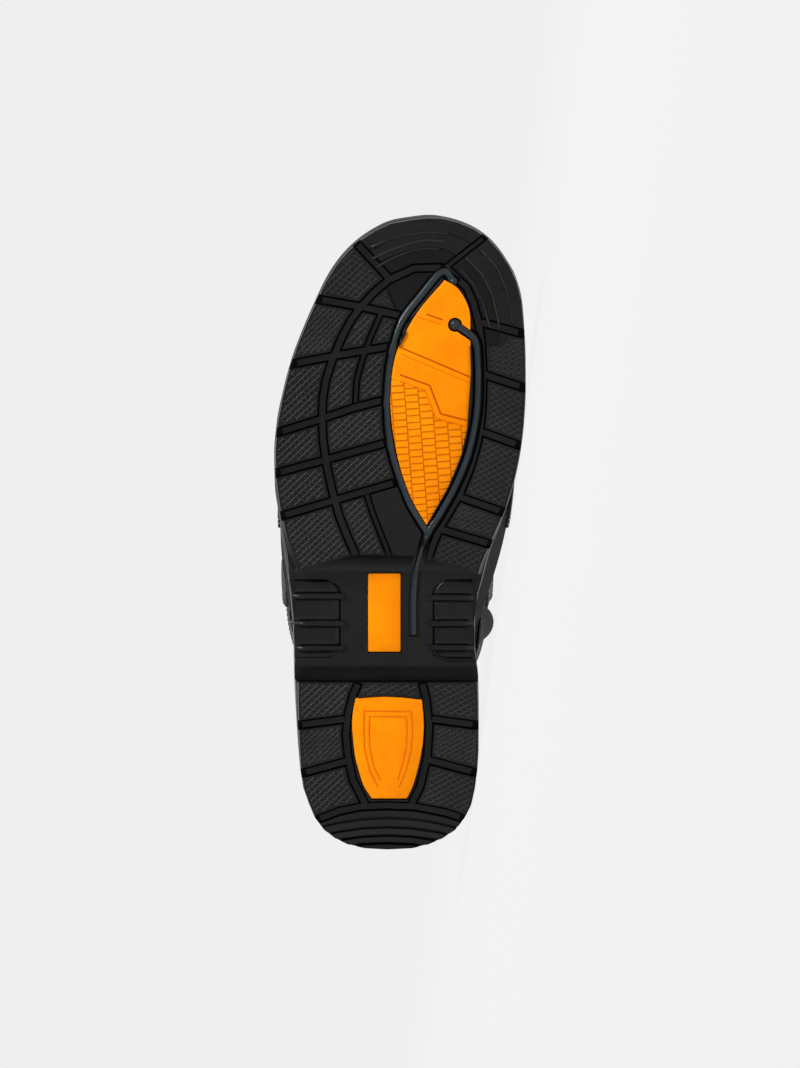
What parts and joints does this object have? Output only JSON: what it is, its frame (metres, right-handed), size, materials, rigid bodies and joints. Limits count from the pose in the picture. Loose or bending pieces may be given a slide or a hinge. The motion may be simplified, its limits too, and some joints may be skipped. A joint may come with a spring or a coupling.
{
  "type": "rigger boot",
  "caption": "Pull-on leather work boot for the right foot, with a lugged rubber sole with orange inserts, lying on its inner side",
  "frame": {"origin": "centre of the bottom of the bounding box, on the floor that the boot lies on", "axes": "the boot lies on its inner side: +X towards the toe, the tread faces -Y, and the outer side is up (+Z)"},
  "size_m": [0.309, 0.2934, 0.121],
  "materials": {
    "outsole": "matt black moulded rubber",
    "midsole": "matt black moulded foam",
    "insole": "dark grey cloth over foam",
    "upper": "dark olive-black grained leather",
    "channel_bead": "glossy blue-grey",
    "forefoot_insert": "orange, satin",
    "waist_insert": "orange, satin",
    "heel_insert": "orange, satin",
    "pull_loop_outer": "dark leather strap",
    "pull_loop_inner": "dark leather strap"
  },
  "bodies": {
    "root": {"outsole": "outsole", "midsole": "midsole", "insole": "insole", "upper": "upper", "channel_bead": "channel_bead", "forefoot_insert": "forefoot_insert", "waist_insert": "waist_insert", "heel_insert": "heel_insert", "pull_loop_outer": "pull_loop_outer", "pull_loop_inner": "pull_loop_inner"}
  },
  "joints": []
}
